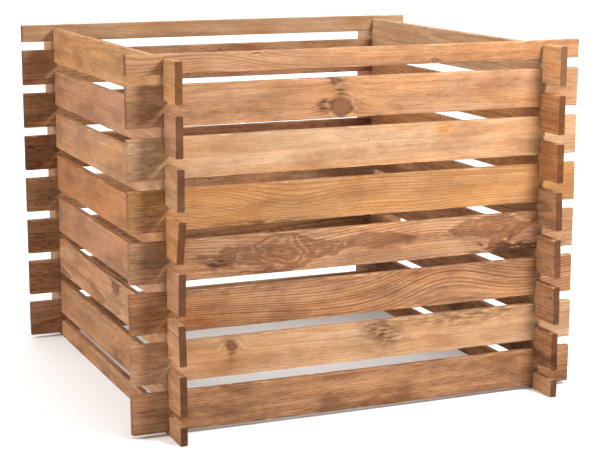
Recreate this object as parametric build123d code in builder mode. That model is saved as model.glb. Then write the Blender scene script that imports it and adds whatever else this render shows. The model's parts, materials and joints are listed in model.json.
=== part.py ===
"""Slatted timber crate: thirty-two notched boards stacked crosswise like a log cabin.

The boards lie on edge. Near each end a board has a notch in its lower edge and one in its upper
edge, and each board drops into the notches of the two boards below it, so that the crate stands
without posts, screws or nails. It is open at the top and stands on the ground with no floor.

The front and back walls lie along X and the left and right walls along Y. The courses of the two
pairs of walls alternate, half a pitch apart, so one pair starts on a half-height board on the
ground and the other ends with a half-height board at the top. Both pairs then finish almost level.

Origin: the middle of the crate, on the ground. +Z is up and the front wall faces -Y. Millimetres.
"""
import os

from build123d import *

# Boards
board_height = 82.0
board_thickness = 15.0
half_board_height = 39.0
edge_radius = 1.5
front_length = 1000.0
side_length = 1000.0

# Joints between crossing boards
notch_depth = 15.5
notch_clearance = 0.8
overhang = 74.0

# Stack
course_count = 8

# A board of one wall rises above the crossing board it sits on by its height less both notches.
course_rise = board_height - 2 * notch_depth
course_pitch = 2 * course_rise
notch_width = board_thickness + 2 * notch_clearance

# The half board on the ground lifts the first front and back boards clear of it.
first_front_base = half_board_height - 2 * notch_depth
second_side_base = first_front_base + course_rise

# Middle planes of the walls: the boards of one wall run past the crossing wall by the overhang.
front_wall_y = side_length / 2 - overhang - board_thickness / 2
side_wall_x = front_length / 2 - overhang - board_thickness / 2

front_wall = Plane(origin=(0, -front_wall_y, 0), x_dir=(1, 0, 0), z_dir=(0, -1, 0))
back_wall = Plane(origin=(0, front_wall_y, 0), x_dir=(-1, 0, 0), z_dir=(0, 1, 0))
left_wall = Plane(origin=(-side_wall_x, 0, 0), x_dir=(0, -1, 0), z_dir=(-1, 0, 0))
right_wall = Plane(origin=(side_wall_x, 0, 0), x_dir=(0, 1, 0), z_dir=(1, 0, 0))


def cross_section(wall, base, height):
    """The plane across a board of this wall, centred on a board that stands on base."""
    middle = wall.origin + Vector(0, 0, base + height / 2)
    return Plane(origin=middle, x_dir=wall.z_dir, z_dir=wall.x_dir)


def notched_board(wall, length, crossing_offset, base, height, notch_middles):
    """One planed board on edge, with eased long edges and a pair of notches at each height given.

    The notches are centred on the crossing walls, crossing_offset either side of the middle, and
    notch_middles are the heights where they are cut: a notch twice its depth tall, half of it out
    of the board, leaves a notch of the right depth in that edge.
    """
    with BuildPart() as board:
        with BuildSketch(cross_section(wall, base, height)):
            RectangleRounded(board_thickness, height, edge_radius)
        extrude(amount=length / 2, both=True)
        with BuildSketch(wall):
            for middle in notch_middles:
                with Locations((-crossing_offset, middle), (crossing_offset, middle)):
                    Rectangle(notch_width, 2 * notch_depth)
        extrude(amount=board_thickness, both=True, mode=Mode.SUBTRACT)
    return board


def full_board(wall, length, crossing_offset, base):
    """A board of the full height, notched in both edges."""
    return notched_board(wall, length, crossing_offset, base, board_height, (base, base + board_height))


def ground_board(wall, length, crossing_offset):
    """A half board standing on the ground, notched in its upper edge only."""
    return notched_board(wall, length, crossing_offset, 0, half_board_height, (half_board_height,))


def top_board(wall, length, crossing_offset, base):
    """A half board that closes the top of a wall, notched in its lower edge only."""
    return notched_board(wall, length, crossing_offset, base, half_board_height, (base,))


def save(board, name):
    """Labels one finished board and writes it as a node of its own."""
    board.part.label = name
    export_step(board.part, f"parts/{name}.step")


def front_or_back_board(wall, course):
    """A board of the front or back wall. The last course is the half board at the top."""
    base = first_front_base + (course - 1) * course_pitch
    if course == course_count:
        return top_board(wall, front_length, side_wall_x, base)
    return full_board(wall, front_length, side_wall_x, base)


def side_board(wall, course):
    """A board of the left or right wall. The first course is the half board on the ground."""
    if course == 1:
        return ground_board(wall, side_length, front_wall_y)
    base = second_side_base + (course - 2) * course_pitch
    return full_board(wall, side_length, front_wall_y, base)


os.makedirs("parts", exist_ok=True)

for course in range(1, course_count + 1):
    save(side_board(left_wall, course), f"left_board_{course}")
    save(side_board(right_wall, course), f"right_board_{course}")
    save(front_or_back_board(front_wall, course), f"front_board_{course}")
    save(front_or_back_board(back_wall, course), f"back_board_{course}")
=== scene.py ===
# %% [markdown]
# # A slatted crate of notched boards
#
# The crate is a stack of thirty-two planed softwood boards standing on edge, laid crosswise like
# the logs of a cabin. Nothing holds it but the notches near the board ends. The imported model
# gives the sizes, places and moving bodies, and this lesson gives every board the looks of a real
# one: eased and slightly worn edges, a little warp, sawn ends, and timber with rings and knots.

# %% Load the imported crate
import json
import math
import random

import bmesh
import bpy
from mathutils import Matrix, Vector, noise


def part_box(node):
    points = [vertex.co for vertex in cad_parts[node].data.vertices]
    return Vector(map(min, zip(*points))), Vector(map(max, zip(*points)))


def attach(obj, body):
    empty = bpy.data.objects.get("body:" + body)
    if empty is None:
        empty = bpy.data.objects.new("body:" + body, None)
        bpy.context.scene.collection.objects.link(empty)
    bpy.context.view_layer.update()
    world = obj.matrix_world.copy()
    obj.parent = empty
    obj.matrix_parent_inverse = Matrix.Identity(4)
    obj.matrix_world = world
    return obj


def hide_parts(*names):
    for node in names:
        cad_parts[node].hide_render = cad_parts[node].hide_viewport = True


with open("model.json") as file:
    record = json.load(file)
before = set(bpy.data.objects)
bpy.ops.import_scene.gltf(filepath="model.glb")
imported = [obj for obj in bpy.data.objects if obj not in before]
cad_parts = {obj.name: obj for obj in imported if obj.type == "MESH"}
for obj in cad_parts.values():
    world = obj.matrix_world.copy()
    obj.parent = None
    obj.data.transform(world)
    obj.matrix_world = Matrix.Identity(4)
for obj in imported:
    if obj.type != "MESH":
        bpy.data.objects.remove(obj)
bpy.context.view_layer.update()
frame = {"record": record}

# %% [markdown]
# ## The sizes that the boards share
#
# All full boards are the same blank, so the sizes are read from two of them. A crossing board
# sinks into this one by one notch and takes this one in by another, so where the lowest front
# board and the board under it overlap in height, half of that overlap is the depth of a notch.
# A notch is a little wider than the board it takes, or the stack would have to be hammered down.

# %% Read the shared sizes
MM = 0.001
NOTCH_CLEARANCE = 0.8 * MM
front_low, front_high = (Vector(c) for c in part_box("front_board_1"))
ground_low, ground_high = (Vector(c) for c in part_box("right_board_1"))
board_length = front_high.x - front_low.x
board_thickness = front_high.y - front_low.y
notch_depth = (ground_high.z - front_low.z) / 2
notch_width = board_thickness + 2 * NOTCH_CLEARANCE
crossing = (ground_low.x + ground_high.x) / 2
print("length", round(board_length, 4), "thickness", round(board_thickness, 4))
print("notch depth", round(notch_depth, 4), "crossings at", round(crossing, 4))

# %% [markdown]
# ## Sawing one blank
#
# A notched board is a flat outline with thickness. It could be built as a box with four boxes
# taken out by booleans, but a sheet that is cut along straight lines is cleaner: the cells in the
# notches are thrown away, the rest is divided along its length so that it can warp, and one
# extrusion gives it thickness. Every face stays a quad.

# %% Saw the outline of a board
STATION = 7 * MM


def cut_along(bm, place, direction):
    """Cuts every face on a plane through place."""
    everything = bm.verts[:] + bm.edges[:] + bm.faces[:]
    bmesh.ops.bisect_plane(bm, geom=everything, plane_co=place, plane_no=direction)


def runs_lengthwise(edge):
    """True for an edge that lies along the board."""
    along = edge.verts[1].co - edge.verts[0].co
    return abs(along.x) > 0.9 * along.length


def sawn_outline(length, height, has_lower_notches, has_upper_notches):
    """The outer face of a board as a sheet of quads with its notches open, standing on z = 0."""
    bm = bmesh.new()
    bmesh.ops.create_grid(bm, x_segments=1, y_segments=1, size=0.5)
    bmesh.ops.scale(bm, vec=(length, height, 1), verts=bm.verts)
    bmesh.ops.rotate(bm, cent=(0, 0, 0), matrix=Matrix.Rotation(math.pi / 2, 3, "X"), verts=bm.verts)
    bmesh.ops.translate(bm, vec=(0, -board_thickness / 2, height / 2), verts=bm.verts)
    for side in (-1, 1):
        for edge in (-1, 1):
            cut_along(bm, (side * crossing + edge * notch_width / 2, 0, 0), (1, 0, 0))
    for level in (notch_depth, height / 2, height - notch_depth):
        cut_along(bm, (0, 0, level), (0, 0, 1))
    waste = []
    for face in bm.faces:
        middle = face.calc_center_median()
        at_crossing = abs(abs(middle.x) - crossing) < notch_width / 2
        low = has_lower_notches and middle.z < notch_depth
        high = has_upper_notches and middle.z > height - notch_depth
        if at_crossing and (low or high):
            waste.append(face)
    bmesh.ops.delete(bm, geom=waste, context="FACES")
    return bm


def divide_lengthwise(bm):
    """Divides the sheet into short stations, so that a board can bend smoothly."""
    runs = {}
    for edge in bm.edges:
        if runs_lengthwise(edge):
            cuts = round(edge.calc_length() / STATION) - 1
            runs.setdefault(cuts, []).append(edge)
    for cuts, edges in runs.items():
        if cuts > 0:
            bmesh.ops.subdivide_edges(bm, edges=edges, cuts=cuts, use_grid_fill=True)


# %% [markdown]
# ## Planing the edges
#
# A planer rounds the four long edges of a board by about two millimetres, while the crosscut ends
# and the notches come straight off the saw and only lose their splinters. So the long edges get a
# wide bevel of several segments, and the sawn ones a narrow one.

# %% Give the sheet thickness and ease its edges
PLANED_EDGE = 1.9 * MM
SAWN_EDGE = 0.5 * MM
SHARP_ANGLE = 1.0


def thicken(bm):
    """Extrudes the sheet to the thickness of the board."""
    grown = bmesh.ops.extrude_face_region(bm, geom=bm.faces[:])
    moved = [part for part in grown["geom"] if isinstance(part, bmesh.types.BMVert)]
    bmesh.ops.translate(bm, vec=(0, board_thickness, 0), verts=moved)
    bmesh.ops.recalc_face_normals(bm, faces=bm.faces[:])


def sharp_edges(bm, wanted):
    """The outward corners sharper than SHARP_ANGLE, in radians, that wanted() picks."""
    found = []
    for edge in bm.edges:
        if edge.is_manifold and edge.calc_face_angle_signed() > SHARP_ANGLE and wanted(edge):
            found.append(edge)
    return found


def ease(bm, edges, width, segments):
    """Rounds edges over."""
    bmesh.ops.bevel(bm, geom=edges, offset=width, offset_type="OFFSET", segments=segments,
                    profile=0.5, affect="EDGES", clamp_overlap=True, material=-1)


def ease_edges(bm, height):
    """Planed long edges, then the sawn ends and notches."""
    def is_planed(edge):
        level = edge.verts[0].co.z
        return runs_lengthwise(edge) and (level < MM or level > height - MM)

    ease(bm, sharp_edges(bm, is_planed), PLANED_EDGE, 3)
    ease(bm, sharp_edges(bm, lambda edge: True), SAWN_EDGE, 1)


# %% [markdown]
# ## What the timber remembers
#
# The rings of the tree run through the whole board, so the pattern on a face, on an edge and on a
# sawn end is one pattern cut three ways. Each point of the mesh therefore keeps its place in the
# straight board, before any warp, in an attribute called grain. Each face keeps whether it was
# sawn across the grain, because end grain drinks more of the brown impregnation and dries darker.

# %% Write the timber attributes
def remember_timber(bm, height):
    """Stores each point's place from the middle of the board, and marks the end grain."""
    grain = bm.verts.layers.float_vector.new("grain")
    for vert in bm.verts:
        vert[grain] = vert.co - Vector((0, 0, height / 2))
    end_grain = bm.faces.layers.float.new("end_grain")
    for face in bm.faces:
        face[end_grain] = 1.0 if abs(face.normal.x) > 0.5 else 0.0


# %% [markdown]
# ## Warp
#
# Stacked boards are held only where they cross, so there they stay true, and between and beyond
# the crossings they bow, crook and twist by a few millimetres as they dry. That could be sculpted
# by hand or bent with a lattice, but a formula for each bend gives the same board every time and
# leaves the crossings exactly where the CAD model has them.

# %% Bend a board
def warp_board(bm, height, warp):
    """Bends the board. bow is sideways and crook is up or down, in metres in mid span. twist is
    how far the board turns from one crossing to the other, and lean_low_x and lean_high_x are
    how far its two free ends turn on beyond the crossings, in degrees."""
    free_end = 0.5 * board_length / crossing - 1
    for vert in bm.verts:
        along = vert.co.x / crossing
        past = max(0.0, abs(along) - 1) / free_end
        lean = warp["lean_high_x"] if along > 0 else warp["lean_low_x"]
        turn = math.radians(warp["twist"] * max(-1.0, min(1.0, along)) / 2 + lean * past * past)
        up = vert.co.z - height / 2
        across = vert.co.y
        sag = 1 - along * along
        vert.co.y = across * math.cos(turn) - up * math.sin(turn) + warp["bow"] * sag
        vert.co.z = across * math.sin(turn) + up * math.cos(turn) + height / 2 + warp["crook"] * sag


# %% [markdown]
# ## Wear
#
# Long edges lose small bits to knocks. Two noises, one for wide dents and one for small chips,
# press the edge in wherever they are high, and leave it alone elsewhere. One board was sawn so
# near the outside of its tree that the lower edge runs out into ragged bark wood for a while.
# That edge is pared back along a shallow arc, with a noise to tear it.

# %% Knock and pare the long edges
DENTS_PER_METRE = 55
CHIPS_PER_METRE = 160
LEFT_ALONE = 0.25
KNOCK_DEPTH = 1.5 * MM
TEARS_PER_METRE = 90


def knock_edges(bm, height, seed):
    """Presses small dents into the long edges."""
    for vert in bm.verts:
        near_edge = min(vert.co.z, height - vert.co.z) < PLANED_EDGE
        near_face = abs(vert.co.y) > board_thickness / 2 - PLANED_EDGE
        if near_edge and near_face:
            hit = noise.noise(Vector((vert.co.x * DENTS_PER_METRE, seed, vert.co.z * 9)))
            hit += 0.5 * noise.noise(Vector((vert.co.x * CHIPS_PER_METRE, seed + 7, vert.co.y * 60)))
            depth = KNOCK_DEPTH * max(0.0, hit - LEFT_ALONE)
            vert.co.z += depth if vert.co.z < height / 2 else -depth
            vert.co.y -= math.copysign(depth * 0.7, vert.co.y)


def pare_edge(bm, wanes):
    """Takes bark wood off the lower outer edge, as (middle, reach, depth) along the board."""
    for vert in bm.verts:
        if vert.co.y < 0 and vert.co.z < notch_depth / 2:
            torn = 0.8 + 0.4 * noise.noise(Vector((vert.co.x * TEARS_PER_METRE, 0, 0)))
            for middle, reach, depth in wanes:
                share = max(0.0, 1 - ((vert.co.x - middle) / reach) ** 2)
                vert.co.y += depth * share * torn
                vert.co.z += 0.4 * depth * share


# %% [markdown]
# ## Wiring shader nodes
#
# A timber pattern is a formula, and a formula is easier to read in lines than in a picture of
# nodes. This small class adds a node, feeds its inputs and hands back its output.

# %% A helper that wires nodes
class Wiring:
    """Adds nodes to one shader tree."""

    def __init__(self, tree):
        self.tree = tree

    def add(self, kind, inputs, **settings):
        """A node with its settings made and its inputs fed with values or other outputs."""
        node = self.tree.nodes.new(kind)
        for key, value in settings.items():
            setattr(node, key, value)
        for key, value in inputs.items():
            if isinstance(value, bpy.types.NodeSocket):
                self.tree.links.new(value, node.inputs[key])
            else:
                node.inputs[key].default_value = value
        return node

    def maths(self, operation, a, b=0.0, c=0.0):
        return self.add("ShaderNodeMath", {0: a, 1: b, 2: c}, operation=operation).outputs[0]

    def times(self, a, b):
        return self.add("ShaderNodeMath", {0: a, 1: b}, operation="MULTIPLY").outputs[0]

    def arrow(self, operation, a, b=(0.0, 0.0, 0.0)):
        return self.add("ShaderNodeVectorMath", {0: a, 1: b}, operation=operation).outputs[0]

    def length(self, a):
        return self.add("ShaderNodeVectorMath", {0: a}, operation="LENGTH").outputs["Value"]

    def parts(self, a):
        return self.add("ShaderNodeSeparateXYZ", {0: a}).outputs

    def join(self, x, y, z):
        return self.add("ShaderNodeCombineXYZ", {0: x, 1: y, 2: z}).outputs[0]

    def cloud(self, place, scale, detail=2.0, roughness=0.5):
        """Noise between 0 and 1, with its size set for each direction by scale."""
        inputs = {"Vector": self.arrow("MULTIPLY", place, scale), "Scale": 1.0, "Detail": detail,
                  "Roughness": roughness}
        return self.add("ShaderNodeTexNoise", inputs).outputs[0]

    def drift(self, place, scale, detail):
        """A noise arrow with each part between -0.5 and 0.5."""
        inputs = {"Vector": self.arrow("MULTIPLY", place, scale), "Scale": 1.0, "Detail": detail,
                  "Roughness": 0.5}
        noisy = self.add("ShaderNodeTexNoise", inputs).outputs[1]
        return self.arrow("SUBTRACT", noisy, (0.5, 0.5, 0.5))

    def ease(self, value, start, end, low=0.0, high=1.0):
        """Goes smoothly from low to high as value goes from start to end."""
        inputs = {"Value": value, "From Min": start, "From Max": end, "To Min": low, "To Max": high}
        return self.add("ShaderNodeMapRange", inputs, interpolation_type="SMOOTHSTEP").outputs[0]

    def lines(self, value, count):
        """0 on each line and 0.5 halfway to the next, with count lines for every 1 of value."""
        return self.maths("PINGPONG", self.times(value, count), 0.5)

    def bell(self, value, width):
        """1 where value is 0, falling to nothing a few widths away."""
        share = self.maths("DIVIDE", value, width)
        return self.maths("EXPONENT", self.times(self.times(share, share), -1.0))

    def blend(self, factor, a, b, how="MIX"):
        """Mixes two colours."""
        inputs = {0: factor, 6: a, 7: b}
        return self.add("ShaderNodeMix", inputs, data_type="RGBA", blend_type=how).outputs[2]

    def tint(self, colour, by):
        """Multiplies one colour by another."""
        return self.blend(1.0, colour, by, "MULTIPLY")

    def use(self, recipe, inputs):
        """Adds a recipe and feeds it."""
        return self.add("ShaderNodeGroup", inputs, node_tree=recipe).outputs


SOCKETS = {"value": "NodeSocketFloat", "vector": "NodeSocketVector", "colour": "NodeSocketColor"}


def new_recipe(name, **sockets):
    """A node group with inputs of each kind, by their labels: its wiring and its inputs."""
    tree = bpy.data.node_groups.new(name, "ShaderNodeTree")
    for kind, labels in sockets.items():
        for label in labels:
            tree.interface.new_socket(label, in_out="INPUT", socket_type=SOCKETS[kind])
    wiring = Wiring(tree)
    return wiring, wiring.add("NodeGroupInput", {}).outputs


def finish_recipe(wiring, **results):
    """Gives a recipe its outputs of each kind, as labels with what feeds them."""
    outputs = {}
    for kind, sources in results.items():
        for label, source in sources.items():
            wiring.tree.interface.new_socket(label, in_out="OUTPUT", socket_type=SOCKETS[kind])
            outputs[label] = source
    wiring.add("NodeGroupOutput", outputs)
    return wiring.tree


# %% [markdown]
# ## A knot
#
# A knot is a branch that the board was cut through. Near it the rings of the stem swell round the
# branch, so the lines on the face bend into ovals. In it lie the branch's own narrow rings, and
# a dark rim of bark and resin with a brown stain parts the two. Where the branch lies just under
# the face, only a dark heart with a few crooked whorls shows. All of these depend on how far a
# point is from the middle of the branch, so one distance, measured in radii of the knot, feeds
# them all. The swelling uses the smooth distance, and the marks a slightly bent one, because
# nothing in timber has a clean outline.

# %% The knot recipe
PULL_WIDTH = 2.1
DARK_LINES_WIDTH = 2.8
STAIN_WIDTH = 1.6
CORE_EDGE = (0.75, 1.08)
RIM_WIDTH = 0.2
HALO_MIDDLE = 1.4
HALO_WIDTH = 0.3
HEART_EDGE = (1.25, 1.72)
WHORLS_EDGE = (1.1, 1.4)
CORE_RINGS = 4.0
HALO_RINGS = 3.0
WHORLS = 1.9


def knot_distance(w, given, slid, up):
    """How far a point is from the branch: an oval for a roundness of 2, and nearly a lozenge
    for a roundness of 1."""
    wide = w.maths("ABSOLUTE", w.maths("DIVIDE", slid, given["Stretch"]))
    wide = w.maths("POWER", wide, given["Roundness"])
    tall = w.maths("POWER", w.maths("ABSOLUTE", up), given["Roundness"])
    return w.maths("POWER", w.maths("ADD", wide, tall), w.maths("DIVIDE", 1.0, given["Roundness"]))


def make_knot_recipe():
    """The pull of one knot on the rings, and all its marks."""
    w, given = new_recipe("knot", vector=("Place", "Centre"),
                          value=("Radius", "Stretch", "Slant", "Roundness"))
    place = given["Place"]
    away = w.parts(w.arrow("SUBTRACT", place, given["Centre"]))
    slid = w.maths("MULTIPLY_ADD", away[2], given["Slant"], away[0])
    distance = knot_distance(w, given, slid, away[2])
    pull = w.bell(w.maths("DIVIDE", distance, given["Radius"]), PULL_WIDTH)
    ragged = w.cloud(place, (0.04, 0.16, 0.16), 3.0)
    bent = w.ease(w.cloud(place, (0.022, 0.05, 0.04)), 0.3, 0.7, 0.8, 1.2)
    near = w.maths("DIVIDE", w.times(distance, bent), given["Radius"])

    oval = w.length(w.join(w.maths("DIVIDE", slid, w.maths("SQRT", given["Stretch"])), 0.0, away[2]))
    crooked = w.ease(w.cloud(place, (0.02, 0.035, 0.035), 1.0), 0.3, 0.7, 0.65, 1.35)
    oval = w.maths("DIVIDE", w.times(oval, crooked), given["Radius"])
    whorls = w.ease(w.lines(oval, WHORLS), 0.1, 0.5)
    pale_rings = w.ease(w.lines(near, HALO_RINGS), 0.15, 0.4)
    halo = w.times(pale_rings, w.bell(w.maths("SUBTRACT", near, HALO_MIDDLE), HALO_WIDTH))
    rim = w.bell(w.maths("SUBTRACT", near, 1.0), RIM_WIDTH)
    spread = w.bell(near, STAIN_WIDTH)
    return finish_recipe(
        w,
        vector={"Push": w.join(0.0, 0.0, w.times(away[2], pull))},
        value={
            "Swell": pull,
            "Near": w.bell(near, DARK_LINES_WIDTH),
            "Heart": w.times(w.ease(near, *HEART_EDGE, 1.0, 0.0), w.ease(near, 0.3, 1.3, 0.8, 1.0)),
            "Whorls": w.times(whorls, w.ease(near, *WHORLS_EDGE, 1.0, 0.0)),
            "Core": w.ease(near, *CORE_EDGE, 1.0, 0.0),
            "Rim": w.times(rim, w.ease(ragged, 0.3, 0.7, 0.4, 1.0)),
            "Rings": w.lines(near, CORE_RINGS),
            "Halo": w.times(halo, w.ease(ragged, 0.3, 0.6, 0.2, 1.0)),
            "Stain": w.times(spread, w.ease(ragged, 0.3, 0.65)),
            "Resin": w.times(spread, w.ease(ragged, 0.25, 0.5, 0.4, 1.0)),
        })


knot_recipe = make_knot_recipe()
print("knot recipe nodes", len(knot_recipe.nodes))

# %% [markdown]
# ## The rings of the stem
#
# The rings are tubes round the pith of the tree, a few millimetres apart. The board is cut beside
# the pith, which leans a little against it. A board close beside the pith is flat sawn: its face
# just grazes the tubes, and that draws arches. One whose pith lies far above or below it is rift
# sawn, with straight lines. So the pattern is only the distance from the pith, divided by the
# width of a ring, and noises of three sizes make the stem wander. In each ring the spring wood is
# pale and the summer wood at its end is a thin dark line.

# %% The ring recipe
SWEEP = (0.0, 16.0, 26.0)
QUIVER = (0.0, 0.2, 0.8)
GOOD_AND_BAD_YEARS = 1.6
FAINTEST_LINE = 0.3


def wander(w, given):
    """The place in the stem, with the stem's bends and the push of the knots taken out."""
    seeded = w.arrow("ADD", given["Place"], w.join(0.0, w.times(given["Seed"], 911.0), 0.0))
    sweep = w.drift(seeded, (0.0014, 0.003, 0.003), 1.0)
    ripple = w.drift(seeded, (0.0040, 0.007, 0.007), 1.0)
    quiver = w.drift(seeded, (0.012, 0.03, 0.03), 2.0)
    waver = w.join(0.0, w.times(given["Waver"], 0.3), given["Waver"])
    moved = w.arrow("ADD", given["Place"], w.arrow("MULTIPLY", sweep, SWEEP))
    moved = w.arrow("ADD", moved, w.arrow("MULTIPLY", ripple, waver))
    moved = w.arrow("ADD", moved, w.arrow("MULTIPLY", quiver, QUIVER))
    return w.arrow("SUBTRACT", moved, given["Push"])


def make_ring_recipe():
    """The dark lines of the rings, and how dark the wood of each ring is."""
    w, given = new_recipe("stem rings", vector=("Place", "Pith", "Lean", "Push"),
                          value=("Ring width", "Waver", "Swell", "Seed"))
    along = w.parts(given["Place"])[0]
    lean = w.arrow("MULTIPLY", given["Lean"], w.join(along, along, along))
    stem = w.parts(w.arrow("SUBTRACT", w.arrow("SUBTRACT", wander(w, given), given["Pith"]), lean))
    radius = w.maths("ADD", w.length(w.join(0.0, stem[1], stem[2])), given["Swell"])
    years = w.cloud(w.join(radius, given["Seed"], 0.0), (0.055, 37.0, 1.0), 1.0)
    years_counted = w.maths("DIVIDE", radius, given["Ring width"])
    count = w.maths("MULTIPLY_ADD", years, GOOD_AND_BAD_YEARS, years_counted)
    part = w.maths("FRACT", count)
    ring = w.maths("ADD", w.maths("FLOOR", count), given["Seed"])
    tone = w.add("ShaderNodeTexWhiteNoise", {"W": ring}, noise_dimensions="1D").outputs["Value"]
    darkens = w.times(w.ease(part, 0.35, 0.85), w.ease(part, 0.92, 1.0, 1.0, 0.0))
    strength = w.maths("MULTIPLY_ADD", tone, 1 - FAINTEST_LINE, FAINTEST_LINE)
    return finish_recipe(w, value={"Summer wood": w.times(darkens, strength), "Ring tone": tone})


ring_recipe = make_ring_recipe()
print("ring recipe nodes", len(ring_recipe.nodes))

# %% [markdown]
# ## The noises in the surface
#
# Planed timber is never even. Each unevenness has its own size, much longer along the board than
# across it: fibres and grit are hair fine, streaks and bands run for a hand's width, and patches
# show where the brown impregnation soaked in. They could be image maps, but a noise stretched
# along the board has no seams, and it goes through the board from face to face.

# %% Lay out the noises
NOISES = {
    "fibres": ((0.045, 0.8, 0.8), 3.0, 0.65),
    "grit": ((0.20, 0.50, 0.50), 2.0, 0.6),
    "streaks": ((0.016, 0.46, 0.46), 3.0, 0.65),
    "bands": ((0.0035, 0.06, 0.06), 2.0, 0.55),
    "patches": ((0.008, 0.020, 0.020), 4.0, 0.6),
    "flecks": ((0.045, 0.42, 0.42), 2.0, 0.6),
    "rubbed": ((0.03, 0.2, 0.2), 3.0, 0.6),
    "warmth": ((0.006, 0.024, 0.024), 3.0, 0.6),
}
WARMTH_SHIFT = (97.0, 31.0, 53.0)


def surface_noises(w, given):
    """Every noise by its name, each drawn anew for each board by its seed."""
    seeded = w.arrow("ADD", given["Place"], w.join(w.times(given["Seed"], 433.0), 0.0, 0.0))
    noises = {}
    for name, (scale, detail, roughness) in NOISES.items():
        place = w.arrow("ADD", seeded, WARMTH_SHIFT) if name == "warmth" else seeded
        noises[name] = w.cloud(place, scale, detail, roughness)
    return noises


# %% [markdown]
# ## Rings and dark heart in colour
#
# The pale and the dark colour of a board are mixed by its ring lines, which are darker near a
# knot. The heart of a hidden branch is brown with paler whorls, the lines still run through it,
# and the fibres break up its edge, which has a darker seam.

# %% Colour the rings
DARKER_NEAR_KNOT = 0.6
HEART_BROWN = 0.9
WHORL_BROWN = 0.3
WHORL_CREST = 0.6
SEAM_WIDTH = 0.3


def colour_rings(w, given, noises):
    """Pale spring wood, dark summer lines, and the hearts of hidden branches."""
    pale, dark = given["Pale"], given["Dark"]
    contrast = w.maths("MULTIPLY_ADD", given["Near"], DARKER_NEAR_KNOT, given["Contrast"])
    dark_line = w.maths("MINIMUM", w.times(given["Summer wood"], contrast), 1.0)
    colour = w.blend(dark_line, pale, dark)
    whorl = w.ease(given["Whorls"], 0.1, 0.9)
    heart = w.blend(whorl, w.blend(HEART_BROWN, pale, dark), w.blend(WHORL_BROWN, pale, dark))
    heart = w.blend(w.times(w.ease(given["Whorls"], 0.86, 1.0), WHORL_CREST), heart, pale)
    heart = w.blend(w.times(dark_line, 0.5), heart, dark)
    colour = w.blend(w.times(given["Heart"], w.ease(noises["streaks"], 0.35, 0.58, 0.55, 1.0)),
                     colour, heart)
    seam = w.bell(w.maths("SUBTRACT", given["Heart"], 0.5), SEAM_WIDTH)
    return w.blend(w.times(seam, 0.5), colour, dark)


# %% [markdown]
# ## The brown impregnation
#
# The brown soaks unevenly into streaks, bands and patches, and leaves some places almost bare.
# Short dark flecks are resin ducts that drank it. Fibres, grit and the tone of each ring then
# lighten and darken everything a little.

# %% Soak the boards brown
TINTED_STREAKS = 0.42
TINTED_BANDS = 0.3
BARE = (1.12, 1.12, 1.13, 1)
WARM = (1.02, 0.93, 0.80, 1)
DUCT_BROWN = (0.05, 0.02, 0.01, 1)


def soak_brown(w, given, noises, colour):
    """The impregnation and the fine unevenness over the rings."""
    dark = given["Dark"]
    patches = noises["patches"]
    colour = w.blend(w.times(w.ease(noises["streaks"], 0.46, 0.66), TINTED_STREAKS), colour, dark)
    colour = w.blend(w.times(w.ease(noises["bands"], 0.45, 0.7), TINTED_BANDS), colour, dark)
    colour = w.blend(w.times(w.ease(patches, 0.46, 0.68), given["Patches"]), colour, dark)
    colour = w.blend(w.ease(patches, 0.48, 0.34), colour, w.tint(colour, BARE))
    fleck = w.times(w.ease(noises["flecks"], 0.54, 0.64), w.ease(noises["bands"], 0.36, 0.56))
    fleck = w.times(fleck, given["Dashes"])
    colour = w.blend(fleck, colour, w.blend(0.5, dark, DUCT_BROWN))
    colour = w.blend(w.ease(noises["warmth"], 0.42, 0.68), colour, w.tint(colour, WARM))
    shade = w.maths("MULTIPLY_ADD", noises["fibres"], 0.40, 0.80)
    shade = w.times(shade, w.maths("MULTIPLY_ADD", noises["grit"], 0.44, 0.78))
    shade = w.times(shade, w.maths("MULTIPLY_ADD", given["Ring tone"], -0.09, 1.04))
    return w.tint(colour, w.join(shade, shade, shade))


# %% [markdown]
# ## The marks of the knots
#
# The marks are laid over the timber from the widest to the narrowest: a pale halo, orange resin,
# a brown stain, the ringed core of the branch and last its dark rim.

# %% Mark the knots
CREAM = (0.70, 0.48, 0.30, 1)
RESIN_ORANGE = (1.0, 0.74, 0.42, 1)
STAIN_BROWN = (0.07, 0.028, 0.013, 1)
CORE_DARK_RING = (0.18, 0.080, 0.037, 1)
CORE_DARKEST_RING = (0.075, 0.030, 0.014, 1)
RIM_BROWN = (0.055, 0.022, 0.011, 1)


def mark_knots(w, given, colour):
    """Halo, resin, stain, core and rim."""
    colour = w.blend(w.times(given["Halo"], 0.65), colour, w.blend(0.3, given["Pale"], CREAM))
    colour = w.blend(given["Resin"], colour, w.tint(colour, RESIN_ORANGE))
    colour = w.blend(w.maths("MINIMUM", given["Stain"], 1.0), colour, STAIN_BROWN)
    colour = w.blend(given["Core"], colour, w.blend(given["Rings"], CORE_DARK_RING, CORE_DARKEST_RING))
    return w.blend(w.times(given["Rim"], 0.85), colour, RIM_BROWN)


# %% [markdown]
# ## Worn edges and end grain
#
# The long edges are handled most: they are rubbed paler in some places and dirtier in others. A
# sawn end drinks more of the brown and dries darker and duller. How near a point is to the edge
# follows from its place and the half size of the board, with no need for a painted mask.

# %% The surface recipe
WORN_WIDTH = 3.2
RUBBED_PALE = (0.80, 0.52, 0.30, 1)
RUBBED_DIRTY = (0.12, 0.06, 0.03, 1)
END_GRAIN_BROWN = (0.36, 0.31, 0.27, 1)
MARKS = {"Heart": "heart", "Whorls": "whorls", "Core": "mark", "Rim": "mark", "Rings": "mark",
         "Stain": "stain", "Halo": "halo", "Resin": "resin", "Near": "near"}


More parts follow.
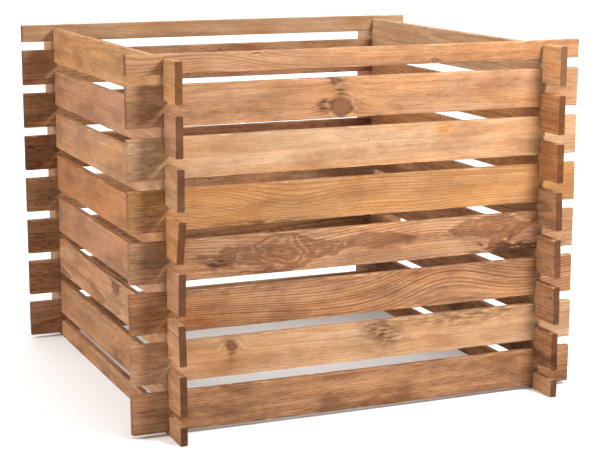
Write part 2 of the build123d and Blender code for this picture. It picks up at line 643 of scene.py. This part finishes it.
def wear_edges(w, given, noises, colour):
    """The long edges rubbed paler and dirtier, and the sawn ends darker."""
    away = w.parts(w.arrow("SUBTRACT", given["Half size"], w.arrow("ABSOLUTE", given["Place"])))
    edge = w.times(w.ease(away[1], 0.2, WORN_WIDTH, 1.0, 0.0), w.ease(away[2], 0.2, WORN_WIDTH, 1.0, 0.0))
    rubbed = noises["rubbed"]
    colour = w.blend(w.times(edge, w.ease(rubbed, 0.5, 0.7, 0.0, 0.45)), colour, RUBBED_PALE)
    colour = w.blend(w.times(edge, w.ease(rubbed, 0.5, 0.3, 0.0, 0.4)), colour, RUBBED_DIRTY)
    return w.blend(given["End grain"], colour, w.tint(colour, END_GRAIN_BROWN))


def make_surface_recipe():
    """The colour, the roughness and the relief of planed and impregnated timber. Hard summer
    wood and the fibres stand a little proud, and the summer wood and the knots are glossier."""
    w, given = new_recipe(
        "planed softwood", vector=("Place", "Half size"), colour=("Pale", "Dark"),
        value=("Seed", "Contrast", "Patches", "Dashes", "Summer wood", "Ring tone", "End grain", *MARKS))
    noises = surface_noises(w, given)
    colour = colour_rings(w, given, noises)
    colour = soak_brown(w, given, noises, colour)
    colour = mark_knots(w, given, colour)
    colour = wear_edges(w, given, noises, colour)
    fibres = noises["fibres"]
    dull = w.maths("MULTIPLY_ADD", given["Summer wood"], -0.14, 0.72)
    dull = w.maths("MULTIPLY_ADD", given["End grain"], 0.15, w.maths("MULTIPLY_ADD", fibres, 0.12, dull))
    dull = w.maths("MULTIPLY_ADD", given["Core"], -0.12, dull)
    relief = w.maths("MULTIPLY_ADD", given["Summer wood"], 0.5, w.times(fibres, 0.8))
    relief = w.maths("MULTIPLY_ADD", given["Rim"], -0.6, relief)
    return finish_recipe(w, colour={"Colour": colour}, value={"Roughness": dull, "Relief": relief})


surface_recipe = make_surface_recipe()
print("surface recipe nodes", len(surface_recipe.nodes))

# %% [markdown]
# ## The finish of one board
#
# No two boards come from the same place in a tree, so each has its own material: the same three
# recipes, fed with where its pith lay, how wide its rings are, its own colours and its own knots.
# One material for all would be less work, but a stack of equal boards looks printed. The colours
# are named pairs of a pale and a dark, written as a display shows them and turned to light.

# %% Make the material of a board
def srgb(red, green, blue):
    """A colour from 0-255 display values."""
    def linear(value):
        value /= 255
        return value / 12.92 if value <= 0.04045 else ((value + 0.055) / 1.055) ** 2.4
    return (linear(red), linear(green), linear(blue), 1.0)


TONES = {
    "straw": (srgb(170, 139, 111), srgb(134, 99, 69)),
    "honey": (srgb(162, 124, 85), srgb(118, 79, 46)),
    "tan": (srgb(161, 125, 95), srgb(112, 76, 49)),
    "russet": (srgb(158, 120, 88), srgb(92, 58, 37)),
    "umber": (srgb(165, 129, 99), srgb(98, 65, 44)),
    "rose": (srgb(155, 117, 90), srgb(108, 72, 49)),
    "amber": (srgb(158, 114, 76), srgb(110, 69, 40)),
    "bark": (srgb(134, 94, 65), srgb(74, 45, 29)),
}
MM_IN_METRE = (1000.0, 1000.0, 1000.0)
RELIEF_DEPTH = 0.25 * MM


def add_knots(w, place, knots):
    """The pushes, the swelling and the marks of all the knots in one board."""
    push = (0.0, 0.0, 0.0)
    swell = 0.0
    marks = dict.fromkeys(MARKS, 0.0)
    for knot in knots:
        seen = w.use(knot_recipe, {
            "Place": place, "Centre": (knot["x"], 0.0, knot["z"]), "Radius": knot["radius"],
            "Stretch": knot["stretch"], "Slant": knot["slant"], "Roundness": knot["roundness"]})
        parting = (knot["parting"],) * 3
        push = w.arrow("ADD", push, w.arrow("MULTIPLY", seen["Push"], parting))
        swell = w.maths("MULTIPLY_ADD", seen["Swell"], knot["swell"], swell)
        for label, strength in MARKS.items():
            marks[label] = w.maths("MAXIMUM", w.times(seen[label], knot[strength]), marks[label])
    return push, swell, marks


def timber(name, height, board):
    """The material of one board."""
    material = bpy.data.materials.new(name)
    material.use_nodes = True
    material.node_tree.nodes.clear()
    w = Wiring(material.node_tree)
    grain = w.add("ShaderNodeAttribute", {}, attribute_name="grain").outputs["Vector"]
    sawn = w.add("ShaderNodeAttribute", {}, attribute_name="end_grain").outputs["Fac"]
    place = w.arrow("MULTIPLY", grain, MM_IN_METRE)
    push, swell, marks = add_knots(w, place, board["knots"])
    rings = w.use(ring_recipe, {
        "Place": place, "Pith": (0.0, *board["pith"]), "Lean": (0.0, *board["lean"]),
        "Ring width": board["ring"], "Waver": board["waver"], "Push": push, "Swell": swell,
        "Seed": board["seed"]})
    pale, dark = TONES[board["tone"]]
    surface = w.use(surface_recipe, {
        "Place": place, "Half size": (board_length / MM / 2, board_thickness / MM / 2, height / MM / 2),
        "Seed": board["seed"], "Pale": pale, "Dark": dark, "Contrast": board["contrast"],
        "Patches": board["patches"], "Dashes": board["dashes"], "Summer wood": rings["Summer wood"],
        "Ring tone": rings["Ring tone"], "End grain": w.times(sawn, board["thirst"]), **marks})
    bump = w.add("ShaderNodeBump", {
        "Height": surface["Relief"], "Strength": 0.6, "Distance": RELIEF_DEPTH})
    finish = w.add("ShaderNodeBsdfPrincipled", {
        "Base Color": surface["Colour"], "Roughness": surface["Roughness"],
        "Normal": bump.outputs[0], "Specular IOR Level": 0.3})
    w.add("ShaderNodeOutputMaterial", {"Surface": finish.outputs[0]})
    return material


# %% [markdown]
# ## Choosing knots
#
# Places are in millimetres from the middle of a board, to the right and up as seen from outside
# the crate. Besides a plain knot there are two kinds that leave something out: a hidden branch,
# where the rings swell round a branch just under the surface, and a soaked spot, where the brown
# or the resin spread with no branch at all.

# %% Describe a knot
def knot(x, z, radius, stretch=1.5, swell=1.0, mark=1.0, stain=0.4, parting=0.8, slant=0.0,
         heart=0.0, halo=0.0, roundness=2.0, resin=0.0, near=1.0, whorls=0.0):
    """One knot. swell is how far it pushes the rings out, in radii, and parting is how much the
    lines make way for it. mark, stain, heart, halo and resin are how strongly its core, its stain,
    the dark wood round it, the pale ring round it and the orange of its resin show. near is how
    much darker the lines round it are, and whorls how clearly rings show in the dark wood."""
    return {"x": x, "z": z, "radius": radius, "stretch": stretch, "swell": swell * radius,
            "mark": mark, "stain": stain, "parting": parting, "slant": slant, "heart": heart,
            "halo": halo, "roundness": roundness, "resin": resin, "near": near,
            "whorls": whorls}


def hidden_branch(x, z, radius, stretch, swell, **looks):
    """A place where the rings swell round a branch just under the surface."""
    return knot(x, z, radius, stretch, swell, mark=0.0, stain=0.0, parting=0.0, near=0.3, **looks)


def soaked_spot(x, z, radius, stretch, stain=0.0, **looks):
    """A brown or orange spot that leaves the rings alone."""
    return knot(x, z, radius, stretch, swell=0.0, mark=0.0, stain=stain, parting=0.0, near=0.0, **looks)


# %% [markdown]
# ## Taking a board from the stack
#
# Most boards are taken at random, by a draw that is the same every time because the board's name
# is its seed. About half are flat sawn and the rest rift sawn, with no knots or a few. Lengths
# are in millimetres, and the turns of the warp in degrees.

# %% Draw a board
def board_from_stack(name, height):
    """Where a board was sawn from, its knots, how it took the brown, and how it warped."""
    draw = random.Random(name)
    flat_sawn = draw.random() < 0.5
    pith_depth = draw.uniform(18, 50) if flat_sawn else draw.uniform(0, 25)
    pith_height = draw.uniform(-40, 40) if flat_sawn else draw.choice((-1, 1)) * draw.uniform(55, 110)
    knots = []
    for _ in range(draw.choice((0, 1, 1, 2, 3))):
        spot = draw.uniform(-430, 430)
        level = draw.uniform(-0.4, 0.4) * height / MM
        knots.append(knot(spot, level, draw.uniform(4, 11), draw.uniform(1.2, 1.9), draw.uniform(0.8, 1.6),
                          draw.uniform(0.6, 1.0), stain=draw.uniform(0.1, 0.5)))
    return {
        "tone": draw.choice(("straw", "honey", "tan", "tan", "russet", "rose", "amber")),
        "pith": (pith_depth * draw.choice((-1, 1)), pith_height),
        "lean": (draw.uniform(-0.05, 0.05), draw.uniform(-0.02, 0.02)),
        "ring": draw.uniform(3.6, 6.5), "waver": draw.uniform(3, 10),
        "contrast": draw.uniform(0.45, 0.85), "patches": draw.uniform(0.2, 0.6),
        "dashes": draw.uniform(0.0, 0.7), "seed": draw.uniform(0, 10), "thirst": 1.0,
        "knots": knots, "wanes": [],
        "warp": {"bow": draw.uniform(-2, 2) * MM, "crook": draw.uniform(-0.8, 0.8) * MM,
                 "twist": draw.uniform(-1.2, 1.2), "lean_low_x": draw.uniform(-1.5, 1.5),
                 "lean_high_x": draw.uniform(-1.5, 1.5)},
    }


# %% [markdown]
# ## Choosing the boards that are seen first
#
# The figure of the front boards, and of the left ones, is chosen board by board. What isn't given
# comes from the draw. thirst is how dark the sawn ends dried, dashes are the short dark flecks,
# and a wane is a stretch of bark wood on the lower edge. Two kinds of board come up again and
# again: smooth ones with hardly any figure, and seasoned ones with dark flecks.

# %% Choose the front boards
SMOOTH = dict(knots=[], contrast=0.35, waver=4, ring=5, dashes=0.1, patches=0.5)
SEASONED = dict(knots=[], contrast=0.6, waver=5, dashes=0.8)


# The left end of a front board gets a brown stain that is partly real stain and partly painted shade,
# standing in for the shadow of the side boards' ends.
def end_stain_and_painted_shade(stain):
    """A brown stain in the left end of a board, out in the overhang, made darker as painted shade of the
    shadow that the ends of the side boards throw there.
    """
    return soaked_spot(-466, 0, 34, 0.8, stain)


# Several front boards below get a darkened left end: partly brown stain, partly painted shade of the side
# boards' shadow.
CHOSEN = {
    "front_board_8": dict(
        tone="tan", pith=(-34, 30), lean=(0.05, 0.01), ring=4.6, waver=6, contrast=0.6,
        patches=0.35, dashes=0.2, thirst=0.85,
        knots=[
            knot(158, -13, 4, 1.6, 2.0, 0.7),
            hidden_branch(-326, -30, 22, 2.2, 1.2),
            knot(-236, 18, 4, 1.8, 1.0, 1.0, 0.8),
            soaked_spot(280, 0, 20, 6.0, resin=0.5),
            soaked_spot(330, 0, 50, 4.0, 0.22)]),
    "front_board_7": dict(
        tone="tan", pith=(-16, 74), lean=(0.02, 0.0), ring=4.6, waver=5, contrast=0.45,
        patches=0.5, dashes=0.35, thirst=0.65,
        knots=[
            knot(-51, -19, 16, 1.35, 1.3, 1.0, 0.2, 1.0, halo=1.0, resin=0.3),
            knot(-64, 37, 9, 1.2, 0.9, 0.9, 1.5, 0.9, 0.4),
            soaked_spot(-89, -17, 8, 1.4, 1.5),
            soaked_spot(-60, 14, 7, 1.3, 1.3, slant=0.6),
            soaked_spot(-300, -25, 18, 6.0, 0.2),
            end_stain_and_painted_shade(0.4)]),
    "front_board_6": dict(
        tone="straw", pith=(-30, -90), lean=(0.02, 0.03), ring=4.2, waver=4, contrast=0.3,
        patches=0.65, dashes=0.0, thirst=0.4,
        knots=[
            knot(9, 14, 1.2, 1.0, 1.0, 0.9),
            hidden_branch(230, 60, 26, 2.4, 1.0),
            soaked_spot(260, 0, 60, 4.0, 0.14),
            soaked_spot(183, 26, 9, 1.6, 0.25, resin=1.0),
            soaked_spot(-410, 20, 18, 1.4, 0.1, resin=0.4),
            soaked_spot(-60, -36, 5, 30.0, 0.2, resin=0.6),
            end_stain_and_painted_shade(0.45)]),
    "front_board_5": dict(
        tone="honey", pith=(-26, -64), lean=(0.02, -0.04), ring=4.8, waver=7, contrast=0.6,
        patches=0.4, dashes=0.2, thirst=0.5,
        knots=[
            hidden_branch(-170, -22, 26, 2.6, 1.2, heart=0.12),
            hidden_branch(100, -42, 26, 3.2, 0.8),
            soaked_spot(-215, -37, 3, 22.0, 0.9),
            soaked_spot(-300, 30, 16, 5.0, resin=0.5),
            end_stain_and_painted_shade(0.5)]),
    "front_board_4": dict(
        tone="umber", pith=(-24, -78), lean=(0.02, 0.02), ring=4.8, waver=3, contrast=0.7,
        patches=0.4, dashes=0.5, thirst=0.4, wanes=[(352 * MM, 62 * MM, 4 * MM)],
        knots=[
            hidden_branch(-182, 2, 25, 3.9, 0.8, heart=0.95, whorls=1.0, roundness=1.15),
            hidden_branch(30, 8, 12, 5.5, 0.4, heart=0.5, whorls=1.0, roundness=1.2),
            hidden_branch(310, 14, 19, 3.4, 0.9, heart=0.7, whorls=1.0, roundness=1.3, resin=0.35),
            hidden_branch(310, -26, 16, 0.9, 0.4, heart=0.6, whorls=0.3, resin=0.6),
            soaked_spot(276, -24, 8, 0.5, 1.2, slant=1.0),
            soaked_spot(344, -12, 9, 0.4, 0.9, slant=-0.6),
            soaked_spot(-322, -8, 9, 1.8, 1.6),
            soaked_spot(-215, -36, 5, 9.0, 0.7),
            soaked_spot(110, 6, 6, 6.0, 0.6),
            soaked_spot(352, -37, 8, 6.0, 3.0),
            end_stain_and_painted_shade(0.25)]),
    "front_board_3": dict(
        tone="russet", pith=(-20, 66), lean=(-0.03, 0.04), ring=6.4, waver=8, contrast=0.9,
        patches=0.5, dashes=0.3, thirst=0.55,
        knots=[
            hidden_branch(190, 30, 34, 2.0, 1.3),
            hidden_branch(-420, -60, 40, 3.0, 1.0),
            soaked_spot(-360, -30, 20, 4.0, resin=0.5),
            soaked_spot(-300, 34, 7, 14.0, 0.5)]),
    "front_board_2": dict(
        tone="straw", pith=(-40, 50), lean=(0.03, 0.03), ring=6, waver=8, contrast=0.35,
        patches=0.6, dashes=0.2, thirst=0.4,
        knots=[
            knot(-289, 22, 9, 1.1, 1.6, 1.0, 1.1, resin=0.4),
            soaked_spot(-291, 0, 9, 0.7, 0.8, slant=-0.2),
            soaked_spot(46, 14, 20, 1.3, 1.0, slant=0.5),
            soaked_spot(50, -16, 10, 0.8, 0.6),
            soaked_spot(240, 32, 14, 8.0, 0.7),
            soaked_spot(-330, 0, 24, 5.0, resin=0.5),
            end_stain_and_painted_shade(0.3)]),
    "front_board_1": dict(
        tone="russet", pith=(-14, 84), lean=(0.02, 0.03), ring=4.6, waver=5, contrast=0.65,
        patches=0.6, dashes=0.5, thirst=0.6,
        knots=[soaked_spot(-307, -10, 14, 2.0, 0.45), soaked_spot(0, -38, 6, 60.0, 0.4)]),
}

# %% Choose the side and back boards
CHOSEN |= {
    "left_board_8": dict(SMOOTH, tone="honey"),
    "left_board_7": dict(
        SMOOTH, tone="rose", contrast=0.5,
        knots=[soaked_spot(-310, 31, 9, 0.25, 1.0), soaked_spot(-300, 0, 60, 3.0, 0.12)]),
    "left_board_6": dict(SMOOTH, tone="tan"),
    "left_board_5": dict(
        SMOOTH, tone="amber", contrast=0.6,
        knots=[soaked_spot(-203, 0, 26, 0.05, 0.9), soaked_spot(-300, 0, 60, 3.0, 0.2)],
        warp=dict(bow=0.0, crook=0.0, twist=0.3, lean_low_x=1.0, lean_high_x=-5.0)),
    "left_board_4": dict(SMOOTH, tone="rose", knots=[soaked_spot(-300, 0, 60, 3.0, 0.12)]),
    "left_board_3": dict(tone="tan", knots=[knot(64, 19, 13, 1.4, 1.4, 1.0, 1.0)]),
    "left_board_2": dict(tone="russet", knots=[soaked_spot(75, -28, 12, 1.8, 0.8)]),
    "left_board_1": dict(tone="russet", knots=[]),
    "right_board_8": dict(tone="straw", knots=[soaked_spot(-466, 0, 34, 0.8, resin=0.8)]),
    "right_board_7": dict(tone="amber", knots=[]),
    "right_board_6": dict(tone="amber", knots=[]),
    "right_board_5": dict(tone="russet"),
    "right_board_4": dict(tone="russet"),
    "right_board_3": dict(SEASONED, tone="russet"),
    "right_board_2": dict(SEASONED, tone="russet", patches=0.8),
    "back_board_8": dict(SMOOTH, tone="straw"),
    "back_board_7": dict(SEASONED, tone="tan"),
    "back_board_6": dict(SEASONED, tone="russet"),
    "back_board_5": dict(SEASONED, tone="bark", dashes=1.0),
    "back_board_4": dict(SEASONED, tone="umber"),
    "back_board_3": dict(SEASONED, tone="russet"),
    "back_board_2": dict(SEASONED, tone="tan"),
    "back_board_1": dict(tone="umber"),
}
print("boards chosen by hand", len(CHOSEN))

# %% [markdown]
# ## Building the four walls
#
# A board is made lying along X with its outer face to the front, then turned to its wall and set
# in the box of the CAD board that it stands for. It rides on that board's body, so that it lifts
# with its course. The half boards on the ground have no lower notches, and those at the top have
# no upper ones.

# %% Build every board
WALL_TURN = {"front": 0, "right": 90, "back": 180, "left": -90}
full_height = front_high.z - front_low.z


def build_board(name, body):
    """One finished board in place of its CAD node."""
    low, high = (Vector(c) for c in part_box(name))
    height = high.z - low.z
    length = max(high.x - low.x, high.y - low.y)
    wall, _, course = name.partition("_board_")
    is_half = height < 0.6 * full_height
    is_ground_board = is_half and course == "1"
    is_top_board = is_half and course != "1"
    board = {**board_from_stack(name, height), **CHOSEN.get(name, {})}

    bm = sawn_outline(length, height, not is_ground_board, not is_top_board)
    divide_lengthwise(bm)
    thicken(bm)
    ease_edges(bm, height)
    remember_timber(bm, height)
    knock_edges(bm, height, board["seed"] * 10)
    pare_edge(bm, board["wanes"])
    warp_board(bm, height, board["warp"])
    turn = Matrix.Rotation(math.radians(WALL_TURN[wall]), 3, "Z")
    bmesh.ops.rotate(bm, cent=(0, 0, 0), matrix=turn, verts=bm.verts)
    bmesh.ops.translate(bm, vec=((low.x + high.x) / 2, (low.y + high.y) / 2, low.z), verts=bm.verts)
    bmesh.ops.recalc_face_normals(bm, faces=bm.faces[:])
    mesh = bpy.data.meshes.new(name + "_timber")
    bm.to_mesh(mesh)
    bm.free()
    mesh.materials.append(timber(name + "_timber", height, board))
    piece = bpy.data.objects.new(name + "_timber", mesh)
    bpy.context.scene.collection.objects.link(piece)
    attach(piece, body)
    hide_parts(name)
    return len(mesh.polygons)


faces = 0
for body, nodes in frame["record"]["behaviour"]["bodies"].items():
    for name in nodes:
        faces += build_board(name, body)
print("boards built with faces", faces)

# %% [markdown]
# ## The studio
#
# A plain pale floor under an even white sky gives the soft light of a studio. One soft box to the
# right of the camera lights the front wall across its face, so that the board ends throw soft
# shadows on it and the figure of the timber shows. The floor is a single disc, wide enough to
# reach the horizon from every side.

# %% Lay the floor
FLOOR_PALE = 0.74
FLOOR_RADIUS = 60


def studio_floor():
    """A wide pale disc."""
    bm = bmesh.new()
    bmesh.ops.create_circle(bm, cap_ends=True, segments=96, radius=FLOOR_RADIUS)
    mesh = bpy.data.meshes.new("studio_floor")
    bm.to_mesh(mesh)
    bm.free()
    material = bpy.data.materials.new("pale_floor")
    material.use_nodes = True
    shader = material.node_tree.nodes["Principled BSDF"]
    shader.inputs["Base Color"].default_value = (FLOOR_PALE, FLOOR_PALE, FLOOR_PALE, 1)
    shader.inputs["Roughness"].default_value = 0.9
    shader.inputs["Specular IOR Level"].default_value = 0.1
    mesh.materials.append(material)
    floor = bpy.data.objects.new("studio_floor", mesh)
    bpy.context.scene.collection.objects.link(floor)


studio_floor()

# %% [markdown]
# A soft box is a square lamp, and the closer and larger it is, the softer its shadows. The banks
# stand for whole walls of lamps: they shine from all over a part of the sky, so the boards get
# light from above, from the left and from behind with hardly an edge to their shadows.

# %% Set the lamps
SKY_WHITE = (1, 0.96, 0.91, 1)
SKY_STRENGTH = 0.12


def aim(item, place, target):
    """Sets a lamp or camera at place, looking at target."""
    item.location = place
    item.rotation_euler = (Vector(target) - Vector(place)).to_track_quat("-Z", "Y").to_euler()


def studio_lamp(name, place, target, size, power, colour):
    """A square soft box."""
    lamp = bpy.data.lights.new(name, "AREA")
    lamp.shape = "SQUARE"
    lamp.size = size
    lamp.energy = power
    lamp.color = colour
    item = bpy.data.objects.new(name, lamp)
    bpy.context.scene.collection.objects.link(item)
    aim(item, place, target)


def studio_bank(name, towards, spread, power):
    """A wide bank of lamps so far away that it lights everything alike. spread is its width in
    degrees, and towards points at it."""
    lamp = bpy.data.lights.new(name, "SUN")
    lamp.angle = math.radians(spread)
    lamp.energy = power
    item = bpy.data.objects.new(name, lamp)
    bpy.context.scene.collection.objects.link(item)
    aim(item, towards, (0, 0, 0))


studio_lamp("key_softbox", (0.80, -1.9, 1.85), (0.0, -0.3, 0.3), 0.6, 71, (1.0, 0.99, 0.97))
studio_bank("overhead_bank", (0.0, 0.0, 1.0), 75, 2.35)
studio_bank("left_bank", (-1.0, -0.05, 0.45), 35, 3.0)
studio_bank("back_bank", (0.35, 1.0, 0.5), 60, 1.2)

sky = bpy.data.worlds.new("studio_sky")
bpy.context.scene.world = sky
sky.use_nodes = True
sky.node_tree.nodes["Background"].inputs["Color"].default_value = SKY_WHITE
sky.node_tree.nodes["Background"].inputs["Strength"].default_value = SKY_STRENGTH
bpy.context.scene.view_settings.view_transform = "Standard"
bpy.context.scene.view_settings.look = "Medium High Contrast"

# %% [markdown]
# The camera stands to the left of the front wall, a little above the rim and looking slightly
# down, so it sees the front and left walls from outside and the right and back ones from inside.

# %% Place the camera
CAMERA_PLACE = (-1.385, -3.383, 1.041)
CAMERA_TURN = math.radians(22.8)
CAMERA_DIP = math.radians(11.43)
lens = bpy.data.cameras.new("camera")
lens.sensor_width = 36
lens.lens = 97.4
camera = bpy.data.objects.new("camera", lens)
camera.location = CAMERA_PLACE
camera.rotation_euler = (math.pi / 2 - CAMERA_DIP, 0, -CAMERA_TURN)
bpy.context.scene.collection.objects.link(camera)
bpy.context.scene.camera = camera
